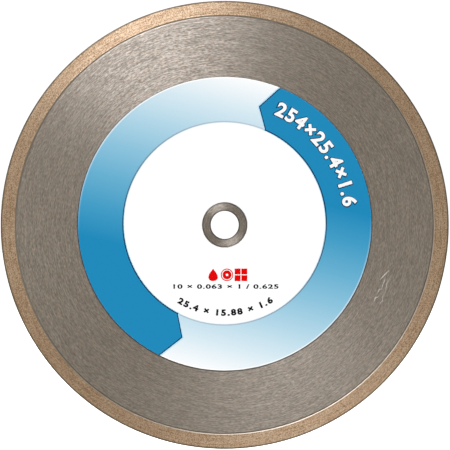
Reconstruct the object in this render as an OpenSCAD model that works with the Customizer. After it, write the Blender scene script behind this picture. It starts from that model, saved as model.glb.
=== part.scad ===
// Continuous-rim diamond blade for wet cutting of tile and stone.
// Millimetres. The blade stands upright in the XZ plane and spins about the Y axis.
// The origin is the centre of the arbor bore, on the middle plane of the core.
// The labelled front face looks along -Y, and +Z is the top of the label.

/* [Blade] */
// Diameter over the cutting rim
blade_diameter = 254; // [230:1:300]

/* [Steel core] */
// Thickness of the steel core
core_thickness = 1.2; // [1.0:0.05:1.3]
// Diameter of the core's own bore, which holds the reducer bush
core_bore_diameter = 25.4; // [22.4:0.1:30]
// Chamfer on both edges of the core's bore
core_bore_chamfer = 0.08; // [0.05:0.01:0.15]
// Thickness of the tongue round the core's outer edge
tongue_thickness = 0.6; // [0.4:0.05:0.7]
// How far the tongue reaches into the bond ring
tongue_depth = 1.8; // [1.0:0.1:2.2]

/* [Diamond rim] */
// Thickness of the cutting rim
rim_thickness = 1.6; // [1.5:0.05:2.2]
// Height of the rim above the core's face edge, bond ring included
rim_height = 8.5; // [7:0.5:12]
// Rounding of the rim's two outer edges
rim_edge_radius = 0.3; // [0.1:0.05:0.4]
// Width of the slope from the core's face up to the rim's face
slope_width = 0.5; // [0.5:0.1:1.2]
// How far the bond ring keys into the groove of the diamond layer
key_depth = 2.2; // [1.5:0.1:2.6]
// Thickness of the bond ring where it ends in the groove
key_thickness = 0.9; // [0.8:0.05:1.0]

/* [Reducer bush] */
// Arbor diameter that the bush fits
arbor_diameter = 15.875; // [12.7:0.005:20]
// Radial running clearance between the bush and the core's bore
bush_clearance = 0.03; // [0.01:0.01:0.1]
// Thickness of the bush
bush_thickness = 1.2; // [0.9:0.05:1.3]
// Chamfer on the four edges of the bush
bush_chamfer = 0.15; // [0.05:0.05:0.25]

/* [Front label] */
// Outer diameter of the round label
label_diameter = 166.4; // [120:0.1:180]
// How far the label's outline sits above its centre hole
label_offset = 0.7; // [0:0.1:1]
// Diameter of the label's centre hole
label_hole_diameter = 25.8; // [25.6:0.1:34]
// Thickness of the label sheet
label_thickness = 0.12; // [0.08:0.01:0.18]

/* [Hidden] */
$fn = 180;
blade_r = blade_diameter / 2;
core_half = core_thickness / 2;
core_bore_r = core_bore_diameter / 2;
tongue_half = tongue_thickness / 2;
rim_half = rim_thickness / 2;
root_r = blade_r - rim_height;
slope_r = root_r + slope_width;
key_r = slope_r + key_depth;
key_half = key_thickness / 2;
tongue_r = root_r + tongue_depth;
bush_outer_r = core_bore_r - bush_clearance;
bush_bore_r = arbor_diameter / 2;
bush_half = bush_thickness / 2;
corner_steps = 4;

// Turns a body built round Z so that its axis lies along Y and its front looks along -Y.
module upright() {
  rotate([90, 0, 0]) children();
}

// Flat steel disc with a thin tongue round its edge and a chamfered centre bore.
module steel_core() {
  color([0.62, 0.60, 0.57])
  upright()
  rotate_extrude()
  polygon([
    [core_bore_r, -core_half + core_bore_chamfer],
    [core_bore_r + core_bore_chamfer, -core_half],
    [root_r, -core_half],
    [root_r, -tongue_half],
    [tongue_r, -tongue_half],
    [tongue_r, tongue_half],
    [root_r, tongue_half],
    [root_r, core_half],
    [core_bore_r + core_bore_chamfer, core_half],
    [core_bore_r, core_half - core_bore_chamfer]
  ]);
}

// Diamond-free backing layer: it wraps the core's tongue and slopes up to the rim's faces.
module bond_ring() {
  color([0.50, 0.42, 0.33])
  upright()
  rotate_extrude()
  polygon([
    [root_r, tongue_half],
    [root_r, core_half],
    [slope_r, rim_half],
    [key_r, key_half],
    [key_r, -key_half],
    [slope_r, -rim_half],
    [root_r, -core_half],
    [root_r, -tongue_half],
    [tongue_r, -tongue_half],
    [tongue_r, tongue_half]
  ]);
}

// Points round one outer corner of the rim, from the angle a0 to the angle a1.
function corner(z, a0, a1) = [
  for (i = [0 : corner_steps])
  let (a = a0 + (a1 - a0) * i / corner_steps)
  [blade_r - rim_edge_radius + rim_edge_radius * cos(a), z + rim_edge_radius * sin(a)]
];

// Diamond-bearing cutting layer, grooved inside to sit over the bond ring.
module diamond_rim() {
  color([0.66, 0.54, 0.40])
  upright()
  rotate_extrude()
  polygon(concat(
    [[slope_r, -rim_half]],
    corner(-rim_half + rim_edge_radius, -90, 0),
    corner(rim_half - rim_edge_radius, 0, 90),
    [[slope_r, rim_half], [key_r, key_half], [key_r, -key_half]]
  ));
}

// Loose ring that reduces the core's bore to the arbor diameter.
module arbor_bush() {
  color([0.58, 0.55, 0.52])
  upright()
  rotate_extrude()
  polygon([
    [bush_bore_r, -bush_half + bush_chamfer],
    [bush_bore_r + bush_chamfer, -bush_half],
    [bush_outer_r - bush_chamfer, -bush_half],
    [bush_outer_r, -bush_half + bush_chamfer],
    [bush_outer_r, bush_half - bush_chamfer],
    [bush_outer_r - bush_chamfer, bush_half],
    [bush_bore_r + bush_chamfer, bush_half],
    [bush_bore_r, bush_half - bush_chamfer]
  ]);
}

// Round printed sheet stuck on the front face of the core.
module front_label() {
  color([0.95, 0.96, 0.97])
  upright()
  translate([0, 0, core_half])
  difference() {
    translate([0, label_offset, 0])
    cylinder(d = label_diameter, h = label_thickness);
    translate([0, 0, -label_thickness])
    cylinder(d = label_hole_diameter, h = 3 * label_thickness);
  }
}

steel_core();
bond_ring();
diamond_rim();
arbor_bush();
front_label();
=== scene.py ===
"""Looks of a continuous-rim diamond blade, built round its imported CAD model.

The blade stands upright in the XZ plane, its axis along Y, with the labelled face
towards -Y. Lengths are in millimetres, and become metres in mm() or times MM, except where
a comment says metres.
"""
import math
import random

import bmesh
import bpy
from mathutils import Euler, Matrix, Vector


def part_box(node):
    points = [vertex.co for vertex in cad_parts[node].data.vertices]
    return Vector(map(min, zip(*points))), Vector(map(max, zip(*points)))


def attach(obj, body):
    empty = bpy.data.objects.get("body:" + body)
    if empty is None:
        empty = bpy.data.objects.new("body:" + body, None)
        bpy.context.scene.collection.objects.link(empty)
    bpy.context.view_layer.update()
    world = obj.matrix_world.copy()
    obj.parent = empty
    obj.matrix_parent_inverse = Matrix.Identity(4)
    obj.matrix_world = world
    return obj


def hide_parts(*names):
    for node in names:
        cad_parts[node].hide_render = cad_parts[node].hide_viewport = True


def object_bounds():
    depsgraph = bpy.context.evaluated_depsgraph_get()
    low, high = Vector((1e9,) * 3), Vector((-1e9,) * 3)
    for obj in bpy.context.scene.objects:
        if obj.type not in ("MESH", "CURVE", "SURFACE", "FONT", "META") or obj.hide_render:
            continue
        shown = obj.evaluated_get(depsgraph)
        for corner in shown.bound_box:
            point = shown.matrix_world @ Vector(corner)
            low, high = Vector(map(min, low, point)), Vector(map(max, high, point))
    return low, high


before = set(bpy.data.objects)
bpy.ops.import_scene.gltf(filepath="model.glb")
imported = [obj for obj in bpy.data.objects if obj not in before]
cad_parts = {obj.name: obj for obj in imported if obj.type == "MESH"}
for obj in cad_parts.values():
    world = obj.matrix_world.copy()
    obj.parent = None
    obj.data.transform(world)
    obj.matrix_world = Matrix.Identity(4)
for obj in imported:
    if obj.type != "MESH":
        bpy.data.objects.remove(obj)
CAD_LOW, CAD_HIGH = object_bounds()

MM = 0.001


def node_radius(node):
    """Outer radius of a round CAD node about the blade's axis, in millimetres."""
    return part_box(node)[1].x / MM


def node_half_thickness(node):
    """Half of a CAD node's thickness along the axis, in millimetres."""
    low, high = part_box(node)
    return (high.y - low.y) / 2 / MM


# ---------------------------------------------------------------- sizes, in mm

BLADE_R = node_radius("diamond_rim")
RIM_HALF = node_half_thickness("diamond_rim")
CORE_HALF = node_half_thickness("steel_core")
RIM_HEIGHT = 8.5
SLOPE_WIDTH = 0.5
ROOT_R = BLADE_R - RIM_HEIGHT
SLOPE_R = ROOT_R + SLOPE_WIDTH
BORE_R = 12.7
BUSH_OUTER_R = node_radius("arbor_bush")
BUSH_BORE_R = 15.875 / 2
BUSH_HALF = node_half_thickness("arbor_bush")
BUSH_CHAMFER = 0.15
LABEL_R = node_radius("front_label")
LABEL_UP = (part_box("front_label")[1].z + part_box("front_label")[0].z) / 2 / MM
LABEL_HOLE_R = 12.9
LABEL_FACE = -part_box("front_label")[0].y / MM
SEGMENTS = 720

# The core's face dips to the sintered joint over a narrow shoulder.
DIP = 0.28
SHOULDER = 0.65
DIP_FLOOR = 0.1

# The rim's faces stand LIP proud at their inner edge and fall away over LIP_WIDTH.
LIP = 0.1
LIP_START = 0.12
LIP_WIDTH = 0.75
LIP_BEVEL = 0.02

# The print lies a little high on its sheet. DISC_R is the edge of its plain middle, INK the
# thickness of one layer, and the bands run to the sheet's own edge.
PRINT_X, PRINT_Z = -0.05, LABEL_UP + 0.22
DISC_R = 58.0
BAND_R = LABEL_R + 0.3
EDGE_GAP = 0.01
INK = 0.012
# One end of an arrow band: (radius, angle in degrees) at its inner corner, tip and outer
# corner. The second band is the same one turned round the label, in degrees.
CHEVRON = [(DISC_R, 66.1), (69.0, 73.1), (BAND_R, 67.2)]
SECOND_BAND = 176.1


def mm(*values):
    return tuple(v * MM for v in values)


# ---------------------------------------------------------------- mesh helpers

def fillet(points, radii, steps=4):
    """Closed profile with each corner rounded by the radius of the same index."""
    out = []
    n = len(points)
    for i, (p, r) in enumerate(zip(points, radii)):
        a, b = points[i - 1], points[(i + 1) % n]
        if r <= 0:
            out.append(p)
            continue
        ua = (a[0] - p[0], a[1] - p[1])
        ub = (b[0] - p[0], b[1] - p[1])
        la, lb = math.hypot(*ua), math.hypot(*ub)
        ua = (ua[0] / la, ua[1] / la)
        ub = (ub[0] / lb, ub[1] / lb)
        half = math.acos(max(-1, min(1, ua[0] * ub[0] + ua[1] * ub[1]))) / 2
        cut = min(r / math.tan(half), la * 0.45, lb * 0.45)
        start = (p[0] + ua[0] * cut, p[1] + ua[1] * cut)
        end = (p[0] + ub[0] * cut, p[1] + ub[1] * cut)
        for k in range(steps + 1):
            t = k / steps
            x = (1 - t) ** 2 * start[0] + 2 * t * (1 - t) * p[0] + t * t * end[0]
            y = (1 - t) ** 2 * start[1] + 2 * t * (1 - t) * p[1] + t * t * end[1]
            out.append((x, y))
    return out


def new_object(name, verts, faces, material, body):
    """Piece with its points in millimetres and one material, riding on a body."""
    mesh = bpy.data.meshes.new(name)
    mesh.from_pydata([mm(*v) for v in verts], [], faces)
    mesh.validate()
    mesh.update()
    obj = bpy.data.objects.new(name, mesh)
    bpy.context.scene.collection.objects.link(obj)
    mesh.materials.append(material)
    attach(obj, body)
    return obj


def lathe(name, profile, material, body, sharp=35):
    """Ring turned round the Y axis from a closed profile of (radius, y) points. Edges that
    bend more than sharp degrees stay crisp."""
    verts, faces = [], []
    n = len(profile)
    for s in range(SEGMENTS):
        a = 2 * math.pi * s / SEGMENTS
        c, d = math.cos(a), math.sin(a)
        verts += [(r * c, y, r * d) for r, y in profile]
    area = sum(profile[i - 1][0] * profile[i][1] - profile[i][0] * profile[i - 1][1]
               for i in range(n))
    for s in range(SEGMENTS):
        base, nxt = s * n, ((s + 1) % SEGMENTS) * n
        for i in range(n):
            j = (i + 1) % n
            quad = (base + i, base + j, nxt + j, nxt + i)
            faces.append(quad if area > 0 else quad[::-1])
    obj = new_object(name, verts, faces, material, body)
    obj.data.shade_smooth()
    obj.data.set_sharp_from_angle(angle=math.radians(sharp))
    return obj


def face_outward(obj):
    """Turn all the faces of a closed piece outward."""
    mesh = bmesh.new()
    mesh.from_mesh(obj.data)
    bmesh.ops.recalc_face_normals(mesh, faces=mesh.faces)
    mesh.to_mesh(obj.data)
    mesh.free()


def polar(r, degrees):
    return r * math.cos(math.radians(degrees)), r * math.sin(math.radians(degrees))


# ---------------------------------------------------------------- print helpers

def on_label(x, z, lift):
    """Point at (x, z) of the label's face, lifted off it towards the front."""
    return x, -LABEL_FACE - lift, z


def slab(name, rows, material, lift, wrap=False):
    """Closed sheet of ink, one INK thick, over a grid of (x, z) points on the label."""
    wide, tall = len(rows[0]), len(rows)
    verts = [on_label(x, z, h) for h in (lift + INK, lift) for row in rows for x, z in row]
    faces, back = [], wide * tall

    def at(i, j):
        return (i % tall) * wide + j

    steps = tall if wrap else tall - 1
    for i in range(steps):
        for j in range(wide - 1):
            quad = (at(i, j), at(i + 1, j), at(i + 1, j + 1), at(i, j + 1))
            faces += [quad, tuple(v + back for v in reversed(quad))]
        for j in (0, wide - 1):
            a, b = at(i, j), at(i + 1, j)
            faces.append((a, b, b + back, a + back))
    if not wrap:
        for i in (0, tall - 1):
            for j in range(wide - 1):
                a, b = at(i, j), at(i, j + 1)
                faces.append((a, b, b + back, a + back))
    printed(new_object(name, verts, faces, material, "blade"))


def printed(obj):
    """Finish of an ink piece: outward faces."""
    face_outward(obj)


def chevron_line(inner, steps=6):
    """Points (radius, angle) along an arrow band's pointed end, on two straight lines. An
    inner radius under DISC_R adds one more point towards the centre."""
    corners = [polar(r, a) for r, a in CHEVRON]
    points = []
    for (x0, z0), (x1, z1) in zip(corners, corners[1:]):
        for k in range(steps):
            t = k / steps
            points.append((x0 + (x1 - x0) * t, z0 + (z1 - z0) * t))
    points.append(corners[-1])
    line = [(inner, CHEVRON[0][1])] if inner < DISC_R else []
    return line + [(math.hypot(x, z), math.degrees(math.atan2(z, x))) for x, z in points]


def clipped(x, z):
    """Point of the print on the label, moved inside the sheet's edge where it would overhang."""
    x, z = PRINT_X + x, PRINT_Z + z
    r = math.hypot(x, z - LABEL_UP)
    keep = min(1, (LABEL_R - EDGE_GAP) / r)
    return x * keep, LABEL_UP + (z - LABEL_UP) * keep


def text_mesh(words, height, weight, spacing):
    """Figures of one height: points (across, up, whether in front), faces and width, in mm.
    weight thickens the strokes, as a share of the type size."""
    curve = bpy.data.curves.new("text", "FONT")
    curve.body = words
    curve.offset = weight
    curve.space_character = spacing
    curve.resolution_u = 5
    curve.extrude = 0.01
    obj = bpy.data.objects.new("text", curve)
    bpy.context.scene.collection.objects.link(obj)
    depsgraph = bpy.context.evaluated_depsgraph_get()
    mesh = bpy.data.meshes.new_from_object(obj.evaluated_get(depsgraph))
    bpy.data.objects.remove(obj)
    points = [tuple(v.co) for v in mesh.vertices]
    faces = [tuple(p.vertices) for p in mesh.polygons]
    left, right = min(p[0] for p in points), max(p[0] for p in points)
    base, top = min(p[1] for p in points), max(p[1] for p in points)
    scale = height / (top - base)
    middle = (base + top) / 2
    points = [((p[0] - left) * scale, (p[1] - middle) * scale, p[2] > 0) for p in points]
    return points, faces, (right - left) * scale


def arc_text(name, words, height, radius, start, end, material, lift, weight, spacing):
    """Figures set round the print from one angle to another, in degrees. Their tops point
    outward where they run clockwise, and inward where they run the other way."""
    points, faces, width = text_mesh(words, height, weight, spacing)
    outward = 1 if end < start else -1
    verts = []
    for u, v, front in points:
        x, z = polar(radius + outward * v, start + (end - start) * u / width)
        verts.append(on_label(PRINT_X + x, PRINT_Z + z, lift + (INK if front else 0)))
    printed(new_object(name, verts, faces, material, "blade"))


def line_text(name, words, height, width, centre, material, weight, spacing):
    """Figures set on a straight line, centred on (x, z) and stretched to one width."""
    points, faces, natural = text_mesh(words, height, weight, spacing)
    verts = []
    for u, v, front in points:
        x, z = centre[0] + (u / natural - 0.5) * width, centre[1] + v
        verts.append(on_label(x, z, INK if front else 0))
    printed(new_object(name, verts, faces, material, "blade"))


# ---------------------------------------------------------------- node helpers

class Nodes:
    """Short way to wire a material's node tree."""

    def __init__(self, name):
        self.mat = bpy.data.materials.new(name)
        self.mat.use_nodes = True
        self.tree = self.mat.node_tree
        self.bsdf = self.tree.nodes["Principled BSDF"]

    def add(self, kind, **props):
        node = self.tree.nodes.new(kind)
        for key, value in props.items():
            setattr(node, key, value)
        return node

    def link(self, source, target):
        self.tree.links.new(source, target)

    def math(self, op, a, b=None, clamp=False):
        node = self.add("ShaderNodeMath", operation=op, use_clamp=clamp)
        for socket, value in zip(node.inputs, (a, b)):
            if value is None:
                continue
            if isinstance(value, (int, float)):
                socket.default_value = value
            else:
                self.link(value, socket)
        return node.outputs[0]

    def position(self):
        coord = self.add("ShaderNodeTexCoord")
        split = self.add("ShaderNodeSeparateXYZ")
        self.link(coord.outputs["Object"], split.inputs[0])
        return split.outputs[0], split.outputs[1], split.outputs[2]

    def radius(self, up=0.0):
        """Distance from the axis, or from a parallel one that lies higher, in metres."""
        x, _, z = self.position()
        if up:
            z = self.math("SUBTRACT", z, up * MM)
        return self.math("SQRT", self.math("ADD", self.math("MULTIPLY", x, x),
                                           self.math("MULTIPLY", z, z)))

    def streaks(self, length, width, detail=3.0, roughness=0.55, lane=0.0):
        """Noise drawn out along circles round the blade's axis, sizes in mm."""
        x, _, z = self.position()
        r = self.radius()
        join = self.add("ShaderNodeCombineXYZ")
        self.link(self.math("MULTIPLY", x, 1 / (length * MM)), join.inputs[0])
        self.link(self.math("MULTIPLY", z, 1 / (length * MM)), join.inputs[1])
        self.link(self.math("ADD", self.math("MULTIPLY", r, 1 / (width * MM)), lane),
                  join.inputs[2])
        noise = self.add("ShaderNodeTexNoise")
        noise.inputs["Scale"].default_value = 1.0
        noise.inputs["Detail"].default_value = detail
        noise.inputs["Roughness"].default_value = roughness
        self.link(join.outputs[0], noise.inputs["Vector"])
        return noise.outputs["Fac"]

    def grain(self, size, detail=2.0):
        """Even noise of one grain size, in mm."""
        coord = self.add("ShaderNodeTexCoord")
        noise = self.add("ShaderNodeTexNoise")
        noise.inputs["Scale"].default_value = 1 / (size * MM)
        noise.inputs["Detail"].default_value = detail
        self.link(coord.outputs["Object"], noise.inputs["Vector"])
        return noise.outputs["Fac"]

    def ramp(self, value, stops):
        """Colour read off a list of (place, colour) stops."""
        node = self.add("ShaderNodeValToRGB")
        elements = node.color_ramp.elements
        while len(elements) < len(stops):
            elements.new(0.5)
        for element, (place, colour) in zip(elements, stops):
            element.position = place
            element.color = (*colour, 1)
        self.link(value, node.inputs[0])
        return node.outputs[0]

    def remap(self, value, low, high, to_low, to_high):
        """Value taken from the range low to high on to another, and held at its ends."""
        node = self.add("ShaderNodeMapRange")
        for key, v in (("From Min", low), ("From Max", high),
                       ("To Min", to_low), ("To Max", to_high)):
            node.inputs[key].default_value = v
        self.link(value, node.inputs["Value"])
        return node.outputs[0]

    def mix(self, factor, a, b, blend="MIX"):
        node = self.add("ShaderNodeMix", data_type="RGBA", blend_type=blend)
        for socket, value in ((node.inputs[0], factor), (node.inputs[6], a),
                              (node.inputs[7], b)):
            if isinstance(value, (int, float)):
                socket.default_value = value
            elif isinstance(value, tuple):
                socket.default_value = (*value, 1)
            else:
                self.link(value, socket)
        return node.outputs[2]

    def bump(self, height, strength, distance):
        """Relief of the given depth, in mm, on the surface's normal."""
        node = self.add("ShaderNodeBump")
        node.inputs["Strength"].default_value = strength
        node.inputs["Distance"].default_value = distance * MM
        self.link(height, node.inputs["Height"])
        self.link(node.outputs[0], self.bsdf.inputs["Normal"])

    def circular_brushing(self, amount):
        """Highlights spread across the circular grinding marks."""
        tangent = self.add("ShaderNodeTangent", direction_type="RADIAL", axis="Y")
        self.link(tangent.outputs[0], self.bsdf.inputs["Tangent"])
        self.bsdf.inputs["Anisotropic"].default_value = amount
        self.bsdf.inputs["Anisotropic Rotation"].default_value = 0.25

    def multiply(self, colour, *layers):
        """Colour multiplied by each layer in turn."""
        for layer in layers:
            colour = self.mix(1.0, colour, layer, "MULTIPLY")
        return colour

    def blend(self, a, b, share):
        """Sum of two noises, the first with the given share and the second with the rest."""
        return self.math("ADD", self.math("MULTIPLY", a, share),
                         self.math("MULTIPLY", b, 1 - share))

    def plain(self, **values):
        """Values that are the same all over, set on the shader's own sockets."""
        for key, value in values.items():
            self.bsdf.inputs[key.replace("_", " ")].default_value = value


def srgb(r, g, b):
    """Colour given as 0-255 display values, as the linear numbers Blender wants."""
    out = []
    for v in (r, g, b):
        v /= 255
        out.append(v / 12.92 if v <= 0.04045 else ((v + 0.055) / 1.055) ** 2.4)
    return tuple(out)


# ---------------------------------------------------------------- materials

STEEL = (0.565, 0.51, 0.46)
RIM_METAL = (0.86, 0.63, 0.44)


def core_steel():
    """Ground steel, with a painted dark line of shade against the label's edge on the front."""
    n = Nodes("core_steel")
    tone = n.blend(n.streaks(1.9, 0.4, 1), n.streaks(9, 0.5, 2, lane=40), 0.6)
    base = n.ramp(tone, [(0.36, (0.48, 0.434, 0.386)), (0.5, STEEL),
                         (0.64, (0.70, 0.64, 0.585))])
    hairs = n.ramp(n.streaks(8, 0.07, 2, lane=90),
                   [(0.4, (0.84, 0.84, 0.84)), (0.5, (1, 1, 1)), (0.6, (1.18, 1.18, 1.18))])
    tint = n.ramp(n.grain(2.6, 2), [(0.35, (0.975, 1.0, 1.005)), (0.5, (1, 1, 1)),
                                    (0.65, (1.025, 0.993, 0.975))])
    # Painted shade: a dark line on the core along the label's edge, on the front face only.
    shade_line_r, shade_line_up, shade_line_width = LABEL_R + 0.15, LABEL_UP - 0.25, 0.5
    off_line = n.math("ABSOLUTE", n.math("SUBTRACT", n.radius(shade_line_up), shade_line_r * MM))
    line = n.remap(off_line, 0.0, shade_line_width * MM, 0.12, 1.0)
    behind = n.remap(n.position()[1], -0.1 * MM, 0.1 * MM, 0.0, 1.0)
    n.link(n.multiply(base, hairs, tint, n.math("MAXIMUM", line, behind)),
           n.bsdf.inputs["Base Color"])
    n.link(n.remap(tone, 0.38, 0.62, 0.78, 0.45), n.bsdf.inputs["Roughness"])
    n.plain(Metallic=1.0)
    n.circular_brushing(0.8)
    n.bump(tone, 0.8, 0.03)
    return n.mat


def edge_steel():
    """The core's narrow shoulder at the joint, which the circular grinding misses; its steel is
    painted darker, as painted shade in the dip.
    """
    n = Nodes("edge_steel")
    fine = n.streaks(3.0, 0.3, 2, lane=60)
    # Painted shade: the base colour is darker than the core's steel, for the shade in the dip.
    n.link(n.ramp(fine, [(0.3, (0.27, 0.242, 0.215)), (0.7, (0.41, 0.372, 0.335))]),
           n.bsdf.inputs["Base Color"])
    n.plain(Metallic=1.0, Roughness=0.34)
    n.bump(fine, 0.4, 0.03)
    return n.mat


def bush_steel():
    """Turned steel, with painted shade that darkens it towards the ring's two edges."""
    n = Nodes("bush_steel")
    fine = n.streaks(2.0, 0.3, 2, lane=15)
    r = n.radius()
    base = n.ramp(fine, [(0.3, (0.33, 0.295, 0.265)), (0.5, (0.51, 0.46, 0.415)),
                         (0.7, (0.76, 0.70, 0.64))])
    # Painted shade: the base colour darkens towards the outer edge and towards the bore.
    outer = n.remap(r, (BUSH_OUTER_R - 0.75) * MM, (BUSH_OUTER_R - 0.1) * MM, 1.0, 0.25)
    inner = n.remap(r, (BUSH_BORE_R + 0.1) * MM, (BUSH_BORE_R + 0.9) * MM, 0.15, 1.0)
    n.link(n.multiply(base, n.math("MULTIPLY", inner, outer)), n.bsdf.inputs["Base Color"])
    n.link(n.remap(fine, 0.3, 0.7, 0.46, 0.58), n.bsdf.inputs["Roughness"])
    n.plain(Metallic=1.0)
    n.circular_brushing(0.85)
    n.bump(fine, 0.3, 0.02)
    return n.mat


def rim_matrix():
    """Ground sintered bronze, with painted shade that darkens it over its rounded outer edge."""
    n = Nodes("rim_matrix")
    tone = n.blend(n.streaks(14.0, 0.45, 5, lane=7, roughness=0.75), n.grain(0.55, 1), 0.5)
    base = n.ramp(tone, [(0.38, (0.55, 0.38, 0.235)), (0.5, RIM_METAL),
                         (0.62, (1.0, 0.84, 0.66))])
    # Painted shade: the base colour darkens over the rounded outer edge.
    edge = n.remap(n.radius(), (BLADE_R - 1.1) * MM, (BLADE_R - 0.35) * MM, 0.0, 1.0)
    n.link(n.mix(edge, base, (0.20, 0.16, 0.11)), n.bsdf.inputs["Base Color"])
    n.link(n.remap(tone, 0.38, 0.62, 0.82, 0.46), n.bsdf.inputs["Roughness"])
    n.plain(Metallic=1.0)
    n.circular_brushing(0.8)
    n.bump(tone, 0.8, 0.04)
    return n.mat


def bond_metal():
    """Dull bronze with no grit in it."""
    n = Nodes("bond_metal")
    fine = n.streaks(4, 0.3, 3, lane=3)
    n.link(n.ramp(fine, [(0.3, (0.44, 0.38, 0.32)), (0.7, (0.61, 0.545, 0.475))]),
           n.bsdf.inputs["Base Color"])
    n.plain(Metallic=1.0, Roughness=0.43)
    n.bump(fine, 0.4, 0.03)
    return n.mat


def grit_crystal():
    """Amber diamond grit."""
    n = Nodes("grit_crystal")
    tone = n.grain(0.6, 2)
    n.link(n.ramp(tone, [(0.35, (0.36, 0.28, 0.14)), (0.65, (0.86, 0.76, 0.52))]),
           n.bsdf.inputs["Base Color"])
    n.plain(Metallic=0.3, Roughness=0.25, IOR=2.0)
    return n.mat


def bare_steel():
    """Bright burrs of a scratch."""
    n = Nodes("bare_steel")
    nicks = n.grain(0.5, 3)
    n.link(n.ramp(nicks, [(0.3, (0.66, 0.62, 0.56)), (0.7, (0.88, 0.84, 0.78))]),
           n.bsdf.inputs["Base Color"])
    n.plain(Metallic=0.35, Roughness=0.5)
    n.bump(nicks, 0.5, 0.02)
    return n.mat


def label_white():
    """Coated white sheet with a trace of fibre."""
    n = Nodes("label_white")
    fibre = n.grain(0.5, 4)
    n.link(n.ramp(fibre, [(0.3, (0.93, 0.94, 0.95)), (0.7, (0.97, 0.975, 0.98))]),
           n.bsdf.inputs["Base Color"])
    n.plain(Roughness=0.55, IOR=1.45)
    n.bump(fibre, 0.05, 0.01)
    return n.mat


# Display colours of the print, and how bright they are printed: the gain for full colour and
# for the palest tint. The bands fade along FADE_AXIS, between two distances from the bore in mm.
INK_GAIN = 0.90
PALE_GAIN = 0.945
BLUE = (30, 141, 191)
NAVY = (8, 52, 84)
PALE_LINE = (235, 243, 248)
DEEP_HALO = (196, 234, 255)
WHITE = (255, 255, 255)
BLACK = (0, 0, 1)
RED = (232, 0, 0)
SHADOW_NAVY = (2, 58, 92)
FADE_AXIS = math.radians(76)
FADE_SPAN = (-25, 83.5)


def ink(name, colour, spread=0.06):
    """Printed colour with the faint unevenness of a screen print."""
    n = Nodes(name)
    spots = n.grain(0.35, 3)
    low = tuple(c * INK_GAIN * (1 - spread) for c in srgb(*colour))
    high = tuple(min(1, c * INK_GAIN * (1 + spread)) for c in srgb(*colour))
    n.link(n.ramp(spots, [(0.3, low), (0.7, high)]), n.bsdf.inputs["Base Color"])
    n.plain(Roughness=0.5, Specular_IOR_Level=0.06)
    return n.mat


def fading_ink(name, deep, pale, turned, glow=0.0, steps=6):
    """Ink that fades evenly down the label, from one display colour to another, or up it
    when turned. Along the sheet's edge it whitens by the share glow where it is palest."""
    n = Nodes(name)
    x, _, z = n.position()
    axis = FADE_AXIS + (math.pi if turned else 0)
    along = n.math("ADD", n.math("MULTIPLY", x, -math.cos(axis)),
                   n.math("MULTIPLY", z, -math.sin(axis)))
    place = n.remap(along, FADE_SPAN[0] * MM, FADE_SPAN[1] * MM, 0.0, 1.0)
    stops = []
    for k in range(steps + 1):
        t = k / steps
        tone = srgb(*(a + (b - a) * t for a, b in zip(deep, pale)))
        gain = INK_GAIN + (PALE_GAIN - INK_GAIN) * t
        stops.append((t, tuple(c * gain for c in tone)))
    spots = n.ramp(n.grain(0.35, 3), [(0.3, (0.955, 0.965, 0.97)), (0.7, (1, 1, 1))])
    tone = n.multiply(n.ramp(place, stops), spots)
    edge = n.remap(n.radius(LABEL_UP), (LABEL_R - 0.95) * MM, (LABEL_R - 0.55) * MM, 0.0, glow)
    n.link(n.mix(n.math("MULTIPLY", edge, place, clamp=True), tone, (1, 1, 1)),
           n.bsdf.inputs["Base Color"])
    n.plain(Roughness=0.45, Specular_IOR_Level=0.06)
    return n.mat


# ---------------------------------------------------------------- stage and light

def floor_material():
    """Pale paper that glows a little, so that it stays even."""
    n = Nodes("floor_paper")
    grain = n.grain(3.0, 2)
    n.link(n.ramp(grain, [(0.3, (0.93, 0.93, 0.93)), (0.7, (0.96, 0.96, 0.96))]),
           n.bsdf.inputs["Base Color"])
    n.plain(Roughness=0.9)
    n.bsdf.inputs["Emission Color"].default_value = (1, 1, 1, 1)
    n.bsdf.inputs["Emission Strength"].default_value = 0.9
    return n.mat


def make_floor():
    """Square floor just under the blade, with its half side in metres."""
    size = 6.0
    gap = 0.3 * MM
    z = CAD_LOW.z - gap
    mesh = bpy.data.meshes.new("floor")
    mesh.from_pydata([(-size, -size, z), (size, -size, z), (size, size, z), (-size, size, z)],
                     [], [(0, 1, 2, 3)])
    obj = bpy.data.objects.new("floor", mesh)
    bpy.context.scene.collection.objects.link(obj)
    mesh.materials.append(floor_material())
    obj.visible_glossy = False
    obj.visible_diffuse = False
    obj.visible_shadow = False


def area_light(name, direction, distance, size, power, colour=(1, 1, 1),
               glossy=True, diffuse=True):
    """Soft round light aimed at the blade's centre, in metres and watts. direction = (angle
    round the face, angle off the front axis), both in degrees."""
    around, off = map(math.radians, direction)
    place = (distance * math.sin(off) * math.cos(around),
             -distance * math.cos(off),
             distance * math.sin(off) * math.sin(around))
    data = bpy.data.lights.new(name, "AREA")
    data.shape = "DISK"
    data.size = size
    data.energy = power
    data.color = colour
    obj = bpy.data.objects.new(name, data)
    bpy.context.scene.collection.objects.link(obj)
    obj.location = place
    obj.rotation_mode = "QUATERNION"
    obj.rotation_quaternion = (-Vector(place)).to_track_quat("-Z", "Y")
    obj.visible_camera = False
    obj.visible_glossy = glossy
    obj.visible_diffuse = diffuse


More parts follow.
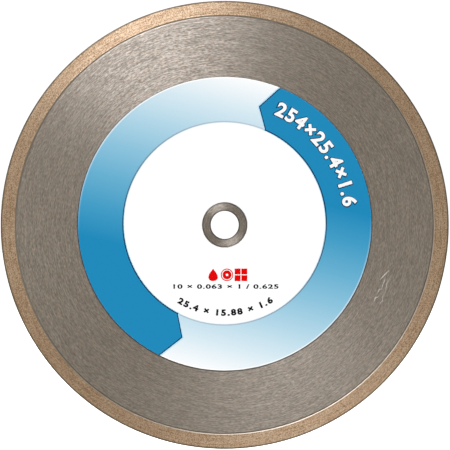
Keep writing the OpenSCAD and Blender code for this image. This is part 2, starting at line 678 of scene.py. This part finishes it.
def make_world():
    """White behind the blade as the camera sees it, and a dimmer warm light on the metal."""
    world = bpy.data.worlds.new("studio")
    world.use_nodes = True
    bpy.context.scene.world = world
    tree = world.node_tree
    out = tree.nodes["World Output"]
    seen = tree.nodes["Background"]
    seen.inputs["Color"].default_value = (1, 1, 1, 1)
    seen.inputs["Strength"].default_value = 1.05
    soft = tree.nodes.new("ShaderNodeBackground")
    soft.inputs["Color"].default_value = (1.0, 0.935, 0.82, 1)
    soft.inputs["Strength"].default_value = 0.345
    path = tree.nodes.new("ShaderNodeLightPath")
    mix = tree.nodes.new("ShaderNodeMixShader")
    tree.links.new(path.outputs["Is Camera Ray"], mix.inputs[0])
    tree.links.new(soft.outputs[0], mix.inputs[1])
    tree.links.new(seen.outputs[0], mix.inputs[2])
    tree.links.new(mix.outputs[0], out.inputs["Surface"])


def make_lights():
    """key and side make the metal's highlights, fill lights the print, back lights behind."""
    area_light("key", (112, 50), 0.62, 0.45, 2.15, (0.98, 0.98, 1.0), diffuse=False)
    area_light("side", (188, 55), 0.62, 0.45, 0.24, (1.0, 0.97, 0.93), diffuse=False)
    area_light("fill", (270, 4), 2.0, 1.6, 35.0, (0.955, 0.985, 1.04), glossy=False)
    area_light("back", (100, 140), 1.2, 0.8, 14.0)


def make_camera():
    """Long lens square to the front face, with the blade just inside the frame."""
    margin = 1.0040
    off_x, off_z = 0.16, -0.05
    data = bpy.data.cameras.new("camera")
    data.lens = 120
    data.sensor_width = 36
    data.dof.use_dof = False
    obj = bpy.data.objects.new("camera", data)
    bpy.context.scene.collection.objects.link(obj)
    half_view = BLADE_R * margin * MM
    distance = half_view / (data.sensor_width / 2 / data.lens)
    obj.location = (off_x * MM, CAD_LOW.y - distance, off_z * MM)
    obj.rotation_euler = (math.radians(90), 0, 0)
    bpy.context.scene.camera = obj


# ---------------------------------------------------------------- pieces

def make_core(face_steel, shoulder_steel):
    """Flat disc whose two faces dip over a shoulder to the sintered joint."""
    front, back = -CORE_HALF, CORE_HALF
    top_r, foot_r = ROOT_R - SHOULDER, ROOT_R - DIP_FLOOR
    shoulder_from = top_r + 0.05
    points = [(BORE_R, front), (top_r, front), (foot_r, front + DIP), (ROOT_R, front + DIP),
              (ROOT_R, back - DIP), (foot_r, back - DIP), (top_r, back), (BORE_R, back)]
    obj = lathe("core_disc", fillet(points, [0.08, 0.1, 0.08, 0, 0, 0.08, 0.1, 0.08]),
                face_steel, "blade")
    obj.data.materials.append(shoulder_steel)
    # The shoulder and dip take the darker steel, painted shade in the dip.
    for polygon in obj.data.polygons:
        if math.hypot(polygon.center.x, polygon.center.z) > shoulder_from * MM:
            polygon.material_index = 1
    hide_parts("steel_core")


def make_bond(material):
    """Slope up to the rim, over a low step out of the core's dip. Its key reaches into the
    rim and grows thinner there."""
    step_height, key_depth, key_fall = 0.14, 0.6, 0.35
    foot = -CORE_HALF + DIP
    step = foot - step_height
    top = -RIM_HALF + LIP_BEVEL
    inside_r, inside = SLOPE_R + key_depth, top + key_fall
    profile = [(ROOT_R, foot), (ROOT_R, step), (SLOPE_R, top), (inside_r, inside),
               (inside_r, -inside), (SLOPE_R, -top), (ROOT_R, -step), (ROOT_R, -foot)]
    obj = lathe("bond_slope", profile, material, "blade")
    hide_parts("bond_ring")


def make_rim(material):
    """Cutting ring with a low lip round the inner edge of each face and a groove inside."""
    groove = 0.5
    proud = RIM_HALF
    face = proud - LIP
    start_r, end_r = SLOPE_R + LIP_START, SLOPE_R + LIP_WIDTH
    points = [(SLOPE_R, -proud + LIP_BEVEL), (start_r, -proud), (end_r, -face),
              (BLADE_R, -face), (BLADE_R, face),
              (end_r, face), (start_r, proud), (SLOPE_R, proud - LIP_BEVEL),
              (SLOPE_R + groove, 0)]
    profile = fillet(points, [0, 0.05, 0.2, 0.3, 0.3, 0.2, 0.05, 0, 0], 6)
    obj = lathe("rim_ring", profile, material, "blade")
    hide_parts("diamond_rim")


def make_bush(material):
    """Reducer ring, chamfered on its four edges."""
    h = BUSH_HALF
    c = BUSH_CHAMFER
    points = [(BUSH_BORE_R, -h + c), (BUSH_BORE_R + c, -h), (BUSH_OUTER_R - c, -h),
              (BUSH_OUTER_R, -h + c), (BUSH_OUTER_R, h - c), (BUSH_OUTER_R - c, h),
              (BUSH_BORE_R + c, h), (BUSH_BORE_R, h - c)]
    profile = fillet(points, [0.04] * len(points), 3)
    obj = lathe("bush_ring", profile, material, "bush", sharp=50)
    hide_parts("arbor_bush")


def make_label(material):
    """The sheet's outline sits a little above its centre hole."""
    back = -CORE_HALF
    front = -LABEL_FACE
    points = [(LABEL_HOLE_R, front), (LABEL_R, front), (LABEL_R, back), (LABEL_HOLE_R, back)]
    profile = fillet(points, [0.02, 0.01, 0, 0], 3)
    obj = lathe("label_sheet", profile, material, "blade")
    for v in obj.data.vertices:
        if math.hypot(v.co.x, v.co.z) > DISC_R * MM:
            v.co.z += LABEL_UP * MM
    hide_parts("front_label")


def band_rows(turn, inner, ahead, behind, steps=90):
    """Grid of an arrow band, from its point clockwise to the notch round the next one. It
    starts ahead of the point and ends short of the notch by two distances in mm."""
    sweep = SECOND_BAND if turn else 360 - SECOND_BAND
    rows = []
    for k in range(steps + 1):
        row = []
        for r, angle in chevron_line(inner):
            head = angle + math.degrees(ahead / r)
            tail = angle - sweep + math.degrees(behind / r)
            row.append(clipped(*polar(r, turn + head + (tail - head) * k / steps)))
        rows.append(row)
    return rows


def make_bands():
    """Two arrow bands that chase each other round the label, with thin dark outlines and a
    pale halo."""
    line, gap, halo = 0.7, 1.5, 0.4
    for side, turn in (("right", 0), ("left", SECOND_BAND)):
        under = fading_ink("ink_line_" + side, NAVY, PALE_LINE, bool(turn))
        over = fading_ink("ink_band_" + side, BLUE, WHITE, bool(turn), glow=0.8)
        soft = fading_ink("ink_halo_" + side, DEEP_HALO, WHITE, bool(turn))
        slab("band_halo_" + side, band_rows(turn, DISC_R - line - halo, gap, gap), soft, 0)
        slab("band_outline_" + side, band_rows(turn, DISC_R - line, line, gap), under, INK)
        slab("band_" + side, band_rows(turn, DISC_R, 0, gap), over, 2 * INK)


def make_figures():
    """The blade's own sizes, in millimetres and inches, as plain figures."""
    black = ink("ink_black", BLACK)
    white = ink("ink_white", WHITE, 0.02)
    navy = ink("ink_navy", SHADOW_NAVY)
    size, size_r, spacing = "254\u00d725.4\u00d71.6", 71.9, 1.17
    arc_text("size_shadow", size, 9.5, size_r, 66.15, 7.35, navy, 3 * INK, 0.08, spacing)
    arc_text("size_figures", size, 8.5, size_r, 65.6, 7.9, white, 4 * INK, 0.036, spacing)
    arc_text("bore_figures", "25.4 \u00d7 15.88 \u00d7 1.6", 3.9, 50.6, 239, 302,
             black, 0, 0.055, 1.3)
    line_text("line_figures", "10 \u00d7 0.063 \u00d7 1 / 0.625", 2.6, 59.6, (0.7, -34.9),
              black, 0.035, 1.15)


def circle_rows(centre, radii, steps=48):
    """Grid of a flat ring between two radii."""
    return [[(centre[0] + r * math.cos(2 * math.pi * k / steps),
              centre[1] + r * math.sin(2 * math.pi * k / steps)) for r in radii]
            for k in range(steps)]


def drop_rows(centre, height, steps=48):
    """Water drop: a round belly that narrows to a point at the top. Its rings shrink towards
    a place that lies under its centre by the length belly."""
    belly = 0.12 * height
    rows = []
    for k in range(steps):
        t = 2 * math.pi * k / steps
        x = height * 0.52 * math.sin(t) * math.sin(t / 2) ** 1.3
        z = height * 0.5 * math.cos(t)
        rows.append([(centre[0] + x * f, centre[1] + (z + belly) * f - belly)
                     for f in (0.02, 0.5, 1)])
    return rows


def make_pictograms():
    """Three plain signs for wet cutting of tile: a drop, a blade and four tiles."""
    red = ink("ink_red", RED)
    x, z, pitch, tall = 1.3, -28.3, 7.9, 7.1
    slab("sign_drop", drop_rows((x - pitch, z), tall), red, 0, wrap=True)
    slab("sign_blade_rim", circle_rows((x, z), (tall * 0.42, tall * 0.5)), red, 0, wrap=True)
    slab("sign_blade_disc", circle_rows((x, z), (tall * 0.1, tall * 0.36)), red, 0, wrap=True)
    tile, joint = tall * 0.475, tall * 0.06
    for i, (sx, sz) in enumerate(((-1, -1), (1, -1), (-1, 1), (1, 1))):
        cx, cz = x + pitch + sx * (tile + joint) / 2, z + sz * (tile + joint) / 2
        rows = [[(cx + u * tile, cz + v * tile) for v in (-0.5, 0.5)] for u in (-0.5, 0.5)]
        slab("sign_tile_%d" % (i + 1), rows, red, 0)


def make_grit(material, count=2600):
    """Diamond crystals that stand out of the rim's two faces, count on each, and its edge."""
    draw = random.Random(7)
    face = RIM_HALF - LIP
    inner, outer = SLOPE_R + 1.1, BLADE_R - 0.4
    edge_half = face - 0.35
    spots = []
    for side in (-1, 1):
        for _ in range(count):
            r = math.sqrt(draw.uniform(inner ** 2, outer ** 2))
            spots.append((r, side * face))
    for _ in range(count // 2):
        spots.append((BLADE_R - 0.02, draw.uniform(-edge_half, edge_half)))
    verts, faces = [], []
    for r, y in spots:
        angle = draw.uniform(0, 360)
        x, z = polar(r, angle)
        size = draw.uniform(0.10, 0.17)
        add_crystal(verts, faces, Vector((x, y, z)), size, draw)
    obj = new_object("rim_grit", verts, faces, material, "blade")


def add_crystal(verts, faces, centre, size, draw):
    """One uneven octahedron, turned at random."""
    turn = Euler([draw.uniform(0, math.tau) for _ in range(3)]).to_matrix()
    base = len(verts)
    for axis in range(3):
        for sign in (-1, 1):
            tip = Vector((0, 0, 0))
            tip[axis] = sign * size * draw.uniform(0.8, 1.15)
            verts.append(tuple(centre + turn @ tip))
    for a in (0, 1):
        for b in (2, 3):
            for c in (4, 5):
                odd = (a + b + c) % 2
                face = (base + a, base + b, base + c)
                faces.append(face if odd else face[::-1])


def ribbon(name, path, width, material, lift=0.006):
    """Thin burr along a path of (x, z) points on the core's front face, narrow at its ends."""
    verts, faces = [], []
    face = -CORE_HALF
    last = len(path) - 1
    for i, (x, z) in enumerate(path):
        (xa, za), (xb, zb) = path[max(0, i - 1)], path[min(last, i + 1)]
        length = math.hypot(xb - xa, zb - za)
        side = (-(zb - za) / length * width / 2, (xb - xa) / length * width / 2)
        grow = 0.25 + 0.75 * math.sin(math.pi * i / last)
        dx, dz = side[0] * grow, side[1] * grow
        verts += [(x + dx, face, z + dz), (x, face - lift, z),
                  (x - dx, face, z - dz), (x, face + lift, z)]
        if i:
            a, b = 4 * (i - 1), 4 * i
            faces += [(a + k, b + k, b + (k + 1) % 4, a + (k + 1) % 4) for k in range(4)]
    faces += [(3, 2, 1, 0), tuple(4 * last + k for k in range(4))]
    obj = new_object(name, verts, faces, material, "blade")
    face_outward(obj)


def wander(start, end, swing, waves, steps=26):
    """Path between two places that weaves from side to side, by about swing mm."""
    dx, dz = end[0] - start[0], end[1] - start[1]
    length = math.hypot(dx, dz)
    path = []
    for k in range(steps + 1):
        t = k / steps
        phase = waves * math.pi * t
        off = swing * (math.sin(phase) + 0.5 * math.sin(2.3 * phase + 1)) / length
        path.append((start[0] + dx * t - dz * off, start[1] + dz * t + dx * off))
    return path


def make_scratches(material):
    """A handling mark on the core, right of the label: one straight score and loose trails.
    Each mark is its name, two ends, swing, number of waves and width."""
    marks = [("score", (93.4, -25.5), (87.7, -31.3), 0.0, 1, 0.38),
             ("trail_1", (90.9, -29.6), (89.3, -35.8), 0.15, 2, 0.25),
             ("trail_2", (89.4, -35.2), (86.0, -38.8), 0.3, 3, 0.27),
             ("trail_3", (87.4, -39.8), (84.0, -43.2), 0.4, 3, 0.33),
             ("trail_4", (93.7, -28.9), (90.3, -38.6), 0.2, 3, 0.21),
             ("trail_5", (90.3, -38.6), (88.3, -45.4), 0.4, 4, 0.23)]
    for name, start, end, swing, waves, width in marks:
        ribbon("scratch_" + name, wander(start, end, swing, waves), width, material)


make_core(core_steel(), edge_steel())
make_bond(bond_metal())
make_rim(rim_matrix())
make_grit(grit_crystal())
make_scratches(bare_steel())
make_bush(bush_steel())
make_label(label_white())
make_bands()
make_figures()
make_pictograms()
make_floor()
make_world()
make_lights()
make_camera()
bpy.context.scene.view_settings.view_transform = "Standard"
